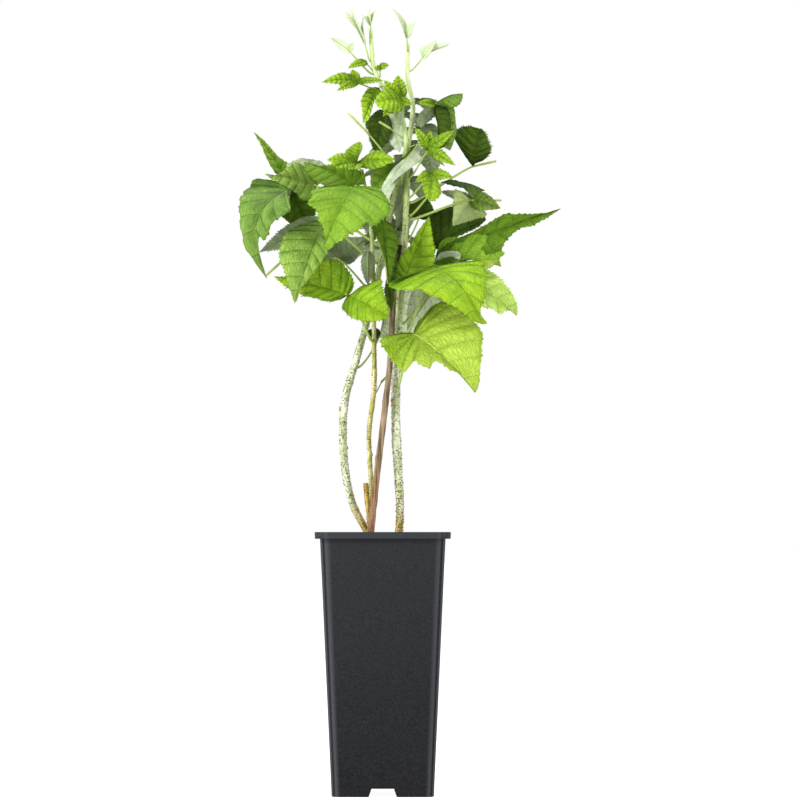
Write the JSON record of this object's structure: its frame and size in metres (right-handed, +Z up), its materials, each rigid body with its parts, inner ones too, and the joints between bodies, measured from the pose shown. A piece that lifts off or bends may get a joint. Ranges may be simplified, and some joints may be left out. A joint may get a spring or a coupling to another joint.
{
  "type": "raspberry cane in a pot",
  "caption": "Young raspberry plant with slender prickly canes and compound toothed leaves, growing in a tall square tapered nursery pot.",
  "frame": {"origin": "on the ground that the pot stands on, under the middle of the plant's whole outline; the pot's own axis is 17.5 mm to the left of it", "axes": "+Z up the plant; the front that shows the two long leaf sprays side by side faces -Y; +X to the viewer's right"},
  "size_m": [0.3225, 0.1877, 0.787],
  "materials": {
    "pot": "matte",
    "soil": "matte",
    "green_cane": "matte",
    "old_cane": "matte",
    "leaf_green": "satin",
    "leaf_dark": "satin",
    "leaf_young": "satin",
    "leaf_pale": "satin"
  },
  "bodies": {
    "root": {"pot": "pot", "soil": "soil", "cane_left": "green_cane", "cane_right": "green_cane", "cane_middle": "green_cane", "old_cane": "old_cane", "leaf_low_right": "leaf_young", "leaf_mid_right": "leaf_young", "leaf_pale_right": "leaf_young", "leaf_upright": "leaf_young", "leaf_low_grey": "leaf_green", "leaf_long_right": "leaf_green", "leaf_dark_right": "leaf_dark", "leaf_round_dark": "leaf_dark", "leaf_olive_right": "leaf_green", "leaf_far_right": "leaf_dark", "leaf_narrow_right": "leaf_dark", "leaf_trio_right": "leaf_young", "leaf_young_right": "leaf_young", "leaf_silver": "leaf_green", "leaf_inner_grey": "leaf_green", "leaf_curled_right": "leaf_green", "leaf_low_left": "leaf_young", "leaf_front": "leaf_green", "leaf_quilted": "leaf_green", "leaf_far_left": "leaf_green", "leaf_upper_left": "leaf_green", "leaf_grey": "leaf_dark", "leaf_folded": "leaf_dark", "leaf_small_grey": "leaf_dark", "leaf_young_left": "leaf_young", "leaf_top_dark": "leaf_dark", "leaf_top_fan": "leaf_young", "leaf_top_hanging": "leaf_green", "leaf_top_left": "leaf_young", "leaf_top_tiny": "leaf_young", "leaf_top_strip": "leaf_young", "leaf_top_pale": "leaf_pale", "leaf_top_feathery": "leaf_pale", "shoot_tip_left": "leaf_pale", "leaf_top_right": "leaf_pale", "shoot_tip_right": "leaf_pale", "stalk_left_long": "leaf_green", "stalk_left_short": "leaf_green", "stalk_middle": "leaf_green", "leaf_back_1": "leaf_green", "leaf_back_2": "leaf_green", "leaf_back_3": "leaf_green", "leaf_back_4": "leaf_green", "leaf_back_5": "leaf_green", "leaf_back_6": "leaf_green", "leaf_back_7": "leaf_green", "leaf_back_8": "leaf_green", "leaf_back_9": "leaf_green", "leaf_back_10": "leaf_green", "leaf_back_11": "leaf_green", "leaf_back_12": "leaf_green"}
  },
  "joints": []
}
